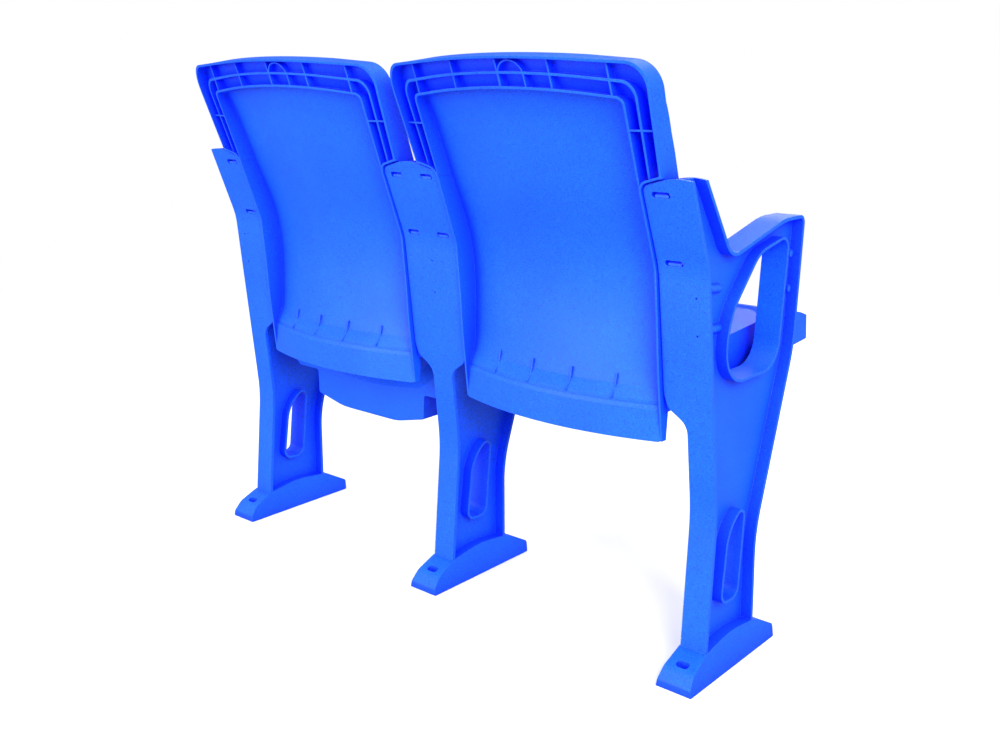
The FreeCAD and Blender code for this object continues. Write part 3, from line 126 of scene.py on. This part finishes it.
def moulded_blue_polypropylene():
    """UV-stabilised polypropylene from a spark-eroded mould.

    The eye sees one clear strong blue with a satin skin. The grain takes the hard edge off each highlight.
    Hollows carry painted shade, a deeper blue put into the colour itself, and thin edges of ribs and rims
    carry a painted highlight, a lighter blue put into the colour along their rounding.
    """
    material, tree = new_material("moulded_blue_polypropylene")
    place = add_node(tree, "ShaderNodeTexCoord").outputs["Object"]

    # Slow drift of tone where the melt flowed, about 120 mm across
    flow = add_node(tree, "ShaderNodeTexNoise", {"Scale": per_mm(120), "Detail": 2.0, "Roughness": 0.5},
                    {"Vector": place})
    drift = add_node(tree, "ShaderNodeMapRange", {"From Min": 0.3, "From Max": 0.7},
                     {"Value": flow.outputs["Fac"]})
    body_tone = add_node(tree, "ShaderNodeMix",
                         {"data_type": "RGBA", 6: hex_colour("#0A54F2"), 7: hex_colour("#105AF5")},
                         {0: drift.outputs["Result"]})

    # Painted shade: hollows between ribs and behind the rims are darkened to a deeper blue in the colour
    # itself
    hollow = add_node(tree, "ShaderNodeAmbientOcclusion", {"samples": 6, "Distance": 60 * MM})
    depth = add_node(tree, "ShaderNodeMapRange",
                     {"From Min": 0.30, "From Max": 0.92, "To Min": 0.92, "To Max": 0.0},
                     {"Value": hollow.outputs["AO"]})
    shaded = add_node(tree, "ShaderNodeMix", {"data_type": "RGBA", 7: hex_colour("#0022F8")},
                      {0: depth.outputs["Result"], 6: body_tone.outputs[2]})

    # Rounded edges, 0.9 mm, with a painted highlight: the colour is lightened along them
    rounded = add_node(tree, "ShaderNodeBevel", {"samples": 6, "Radius": 0.9 * MM})
    surface = add_node(tree, "ShaderNodeNewGeometry")
    facing = add_node(tree, "ShaderNodeVectorMath", {"operation": "DOT_PRODUCT"},
                      {0: rounded.outputs["Normal"], 1: surface.outputs["Normal"]})
    edge = add_node(tree, "ShaderNodeMapRange",
                    {"From Min": 0.99, "From Max": 0.80, "To Min": 0.0, "To Max": 0.45},
                    {"Value": facing.outputs["Value"]})
    # Painted highlight: a lighter blue is mixed into the colour along the edges
    skin = add_node(tree, "ShaderNodeMix", {"data_type": "RGBA", 7: hex_colour("#3C70FB")},
                    {0: edge.outputs["Result"], 6: shaded.outputs[2]})

    # Mould grain: the real grit is about 0.3 mm and is drawn at 1.8 mm, so that it shows at this distance
    grain = add_node(tree, "ShaderNodeTexNoise", {"Scale": per_mm(1.8), "Detail": 3.0, "Roughness": 0.7},
                     {"Vector": place})
    speckle = add_node(tree, "ShaderNodeMapRange",
                       {"From Min": 0.35, "From Max": 0.65, "To Min": 0.62, "To Max": 1.38},
                       {"Value": grain.outputs["Fac"]})
    tone = add_node(tree, "ShaderNodeVectorMath", {"operation": "SCALE"},
                    {0: skin.outputs[2], 3: speckle.outputs["Result"]})
    sheen = add_node(tree, "ShaderNodeMapRange",
                     {"From Min": 0.3, "From Max": 0.7, "To Min": 0.46, "To Max": 0.60},
                     {"Value": grain.outputs["Fac"]})
    # Sink and flow marks, 35 mm apart and hardly deep enough to see
    sink = add_node(tree, "ShaderNodeTexNoise", {"Scale": per_mm(35), "Detail": 1.0}, {"Vector": place})
    waviness = add_node(tree, "ShaderNodeBump", {"Strength": 0.12, "Distance": 0.6 * MM},
                        {"Height": sink.outputs["Fac"], "Normal": rounded.outputs["Normal"]})
    relief = add_node(tree, "ShaderNodeBump", {"Strength": 0.22, "Distance": 0.12 * MM},
                      {"Height": grain.outputs["Fac"], "Normal": waviness.outputs["Normal"]})
    shader = add_node(tree, "ShaderNodeBsdfPrincipled",
                      {"IOR": 1.49, "Metallic": 0.0, "Specular IOR Level": 0.28},
                      {"Base Color": tone.outputs["Vector"], "Roughness": sheen.outputs["Result"],
                       "Normal": relief.outputs["Normal"]})
    finish_material(tree, shader)
    return material


def moulded_black_nylon():
    """Glass-filled nylon. Its fibres leave a faint mottled skin, dark grey where light grazes it."""
    material, tree = new_material("moulded_black_nylon")
    place = add_node(tree, "ShaderNodeTexCoord").outputs["Object"]
    # Fibre mottle: real fibres are 0.3 mm long and are drawn at 1.5 mm
    mottle = add_node(tree, "ShaderNodeTexNoise", {"Scale": per_mm(1.5), "Detail": 3.0, "Distortion": 0.6},
                      {"Vector": place})
    tone = add_node(tree, "ShaderNodeMix",
                    {"data_type": "RGBA", 6: hex_colour("#0F1013"), 7: hex_colour("#24262B")},
                    {0: mottle.outputs["Fac"]})
    rough = add_node(tree, "ShaderNodeMapRange", {"To Min": 0.42, "To Max": 0.62},
                     {"Value": mottle.outputs["Fac"]})
    rounded = add_node(tree, "ShaderNodeBevel", {"samples": 6, "Radius": 0.6 * MM})
    relief = add_node(tree, "ShaderNodeBump", {"Strength": 0.2, "Distance": 0.1 * MM},
                      {"Height": mottle.outputs["Fac"], "Normal": rounded.outputs["Normal"]})
    shader = add_node(tree, "ShaderNodeBsdfPrincipled", {"IOR": 1.53},
                      {"Base Color": tone.outputs[2], "Roughness": rough.outputs["Result"],
                       "Normal": relief.outputs["Normal"]})
    finish_material(tree, shader)
    return material


def moulded_black_rubber():
    """Moulded rubber. It is dull, a little brown in the light, with a dusty bloom."""
    material, tree = new_material("moulded_black_rubber")
    place = add_node(tree, "ShaderNodeTexCoord").outputs["Object"]
    # Bloom in patches of 6 mm
    bloom = add_node(tree, "ShaderNodeTexNoise", {"Scale": per_mm(6), "Detail": 4.0}, {"Vector": place})
    tone = add_node(tree, "ShaderNodeMix",
                    {"data_type": "RGBA", 6: hex_colour("#141312"), 7: hex_colour("#2C2B2A")},
                    {0: bloom.outputs["Fac"]})
    relief = add_node(tree, "ShaderNodeBump", {"Strength": 0.25, "Distance": 0.2 * MM},
                      {"Height": bloom.outputs["Fac"]})
    shader = add_node(tree, "ShaderNodeBsdfPrincipled", {"IOR": 1.52, "Roughness": 0.82},
                      {"Base Color": tone.outputs[2], "Normal": relief.outputs["Normal"]})
    finish_material(tree, shader)
    return material


def zinc_plated_steel():
    """Turned steel with bright zinc. It has a cool grey gleam, with cloudy patches in the plating."""
    material, tree = new_material("zinc_plated_steel")
    place = add_node(tree, "ShaderNodeTexCoord").outputs["Object"]
    # Clouds in the zinc, 4 mm across
    clouds = add_node(tree, "ShaderNodeTexNoise", {"Scale": per_mm(4), "Detail": 3.0}, {"Vector": place})
    tone = add_node(tree, "ShaderNodeMix",
                    {"data_type": "RGBA", 6: hex_colour("#A9ACB2"), 7: hex_colour("#C9CCD1")},
                    {0: clouds.outputs["Fac"]})
    rough = add_node(tree, "ShaderNodeMapRange", {"To Min": 0.26, "To Max": 0.42},
                     {"Value": clouds.outputs["Fac"]})
    relief = add_node(tree, "ShaderNodeBump", {"Strength": 0.1, "Distance": 0.05 * MM},
                      {"Height": clouds.outputs["Fac"]})
    shader = add_node(tree, "ShaderNodeBsdfPrincipled", {"Metallic": 1.0},
                      {"Base Color": tone.outputs[2], "Roughness": rough.outputs["Result"],
                       "Normal": relief.outputs["Normal"]})
    finish_material(tree, shader)
    return material


FINISH = {
    "blue_plastic": moulded_blue_polypropylene(),
    "black_nylon": moulded_black_nylon(),
    "black_rubber": moulded_black_rubber(),
    "steel": zinc_plated_steel(),
}


def shade_smooth(mesh):
    mesh.polygons.foreach_set("use_smooth", [True] * len(mesh.polygons))


def dress_pieces():
    """Gives every moulding and fastener its real finish, with smooth curves and crisp corners."""
    slot_of = {part["node"]: part["material_slot"] for part in frame["record"]["subparts"]}
    for name, piece in nodes.items():
        piece.data.materials.clear()
        piece.data.materials.append(FINISH[slot_of[name]])
        shade_smooth(piece.data)
        piece.data.set_sharp_from_angle(angle=CREASE)


# Forms that the photograph shows beyond the solids

def drafted_back(side):
    """The back with the mould's draft: its top wall climbs from the rear edge forwards."""
    node = nodes[f"{side}_back"]
    mesh = node.data.copy()
    rear_edge = max(corner[1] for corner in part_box(node.name))
    for vertex in mesh.vertices:
        up_wall = min(max((vertex.co.z - DRAFT_START) / DRAFT_BLEND, 0), 1)
        ahead = min(max((rear_edge - vertex.co.y) / DRAFT_REACH, 0), 1)
        vertex.co.z += DRAFT_RISE * up_wall * up_wall * (3 - 2 * up_wall) * ahead
    back = bpy.data.objects.new(f"{side}_back_moulding", mesh)
    bpy.context.scene.collection.objects.link(back)
    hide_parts(node.name)
    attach(back, "row_frame")


def web_boss(name, x, start, end, radius):
    """A round boss along the web of an end standard, half sunk in it and with a rounded end."""
    along = Vector(end) - Vector(start)
    bpy.ops.mesh.primitive_cylinder_add(vertices=40, radius=radius, depth=along.length,
                                        location=(x, *((Vector(start) + Vector(end)) / 2)),
                                        rotation=(math.atan2(along.y, along.x) - math.pi / 2, 0, 0))
    boss = bpy.context.object
    boss.name = name
    rounding = boss.modifiers.new("rounding", "BEVEL")
    rounding.width = 2.2 * MM
    rounding.segments = 4
    shade_smooth(boss.data)
    boss.data.materials.append(FINISH["blue_plastic"])
    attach(boss, "row_frame")


def web_bosses():
    """Four bosses on each end standard: two ahead of the flange's screw holes, two at the armrest's front."""
    for side, sign in (("left", 1), ("right", -1)):
        for name, start, end, radius in WEB_BOSSES:
            web_boss(f"{side}_{name}", sign * WEB_FACE, start, end, radius)


# Studio

def white_floor():
    """A plain pale floor that keeps the shadows and fades to white far from the seats."""
    half = FLOOR_HALF
    mesh = bpy.data.meshes.new("studio_floor")
    mesh.from_pydata([(-half, -half, 0), (half, -half, 0), (half, half, 0), (-half, half, 0)], [],
                     [(0, 1, 2, 3)])
    floor = bpy.data.objects.new("studio_floor", mesh)
    bpy.context.scene.collection.objects.link(floor)
    material, tree = new_material("matt_white_floor_paint")
    place = add_node(tree, "ShaderNodeTexCoord").outputs["Object"]
    reach = add_node(tree, "ShaderNodeVectorMath", {"operation": "LENGTH"}, {0: place})
    far = add_node(tree, "ShaderNodeMapRange", {"From Min": FLOOR_FADE[0], "From Max": FLOOR_FADE[1]},
                   {"Value": reach.outputs["Value"]})
    seen = add_node(tree, "ShaderNodeLightPath")
    fade = add_node(tree, "ShaderNodeMath", {"operation": "MULTIPLY"},
                    {0: far.outputs["Result"], 1: seen.outputs["Is Camera Ray"]})
    # The ground under the real seats threw little light back, so bounce light meets a darker paint
    tone = add_node(tree, "ShaderNodeMix",
                    {"data_type": "RGBA", 6: hex_colour("#8C8C8C"), 7: hex_colour("#F4F4F4")},
                    {0: seen.outputs["Is Camera Ray"]})
    paint = add_node(tree, "ShaderNodeBsdfPrincipled", {"Roughness": 0.9, "Specular IOR Level": 0.1},
                     {"Base Color": tone.outputs[2]})
    glow = add_node(tree, "ShaderNodeEmission", {"Color": hex_colour("#FFFFFF"), "Strength": 1.0})
    both = add_node(tree, "ShaderNodeMixShader", {},
                    {0: fade.outputs["Value"], 1: paint.outputs["BSDF"], 2: glow.outputs["Emission"]})
    add_node(tree, "ShaderNodeOutputMaterial", links={"Surface": both.outputs["Shader"]})
    mesh.materials.append(material)


def soft_world():
    """Even white light from all round. The camera sees plain white, and gloss sees a dimmer room."""
    world = bpy.data.worlds.new("studio")
    bpy.context.scene.world = world
    world.use_nodes = True
    tree = world.node_tree
    tree.nodes.clear()
    path = add_node(tree, "ShaderNodeLightPath")
    seen = add_node(tree, "ShaderNodeMath", {"operation": "MAXIMUM"},
                    {0: path.outputs["Is Camera Ray"], 1: path.outputs["Is Transmission Ray"]})
    gloss = add_node(tree, "ShaderNodeMapRange", {"To Min": ROOM_LIGHT, "To Max": GLOSS_SHARE * ROOM_LIGHT},
                     {"Value": path.outputs["Is Glossy Ray"]})
    light = add_node(tree, "ShaderNodeMapRange", {"To Max": 1.0},
                     {"Value": seen.outputs["Value"], "To Min": gloss.outputs["Result"]})
    sky = add_node(tree, "ShaderNodeBackground", {"Color": hex_colour("#FFFFFF")},
                   {"Strength": light.outputs["Result"]})
    add_node(tree, "ShaderNodeOutputWorld", links={"Surface": sky.outputs["Background"]})


def soft_box(name, at, towards, size, watts):
    lamp = bpy.data.lights.new(name, "AREA")
    lamp.shape = "SQUARE"
    lamp.size = size
    lamp.energy = watts
    holder = bpy.data.objects.new(name, lamp)
    bpy.context.scene.collection.objects.link(holder)
    holder.location = at
    holder.rotation_euler = (Vector(towards) - Vector(at)).to_track_quat("-Z", "Y").to_euler()


def photo_camera():
    """The photograph's viewpoint. It looks along -back, and the shift stands for the way the photo is cut."""
    level_part = math.cos(CAMERA_ELEVATION)
    back = Vector((math.sin(CAMERA_AZIMUTH) * level_part, -math.cos(CAMERA_AZIMUTH) * level_part,
                   math.sin(CAMERA_ELEVATION)))
    right = Vector((0, 0, 1)).cross(back).normalized()
    up = back.cross(right)
    level = right * math.cos(CAMERA_ROLL) + up * math.sin(CAMERA_ROLL)
    upright = up * math.cos(CAMERA_ROLL) - right * math.sin(CAMERA_ROLL)
    lens = bpy.data.cameras.new("photo_camera")
    lens.sensor_width = CAMERA_SENSOR
    lens.lens = CAMERA_LENS
    lens.shift_y = CAMERA_SHIFT
    lens.clip_start = 0.02
    camera = bpy.data.objects.new("photo_camera", lens)
    bpy.context.scene.collection.objects.link(camera)
    turn = Matrix((level, upright, back)).transposed().to_4x4()
    camera.matrix_world = Matrix.Translation(CAMERA_PLACE) @ turn
    bpy.context.scene.camera = camera


dress_pieces()
for side in ("left", "right"):
    drafted_back(side)
web_bosses()
white_floor()
soft_world()
for box in SOFT_BOXES:
    soft_box(*box)
photo_camera()
bpy.context.scene.view_settings.view_transform = "Standard"
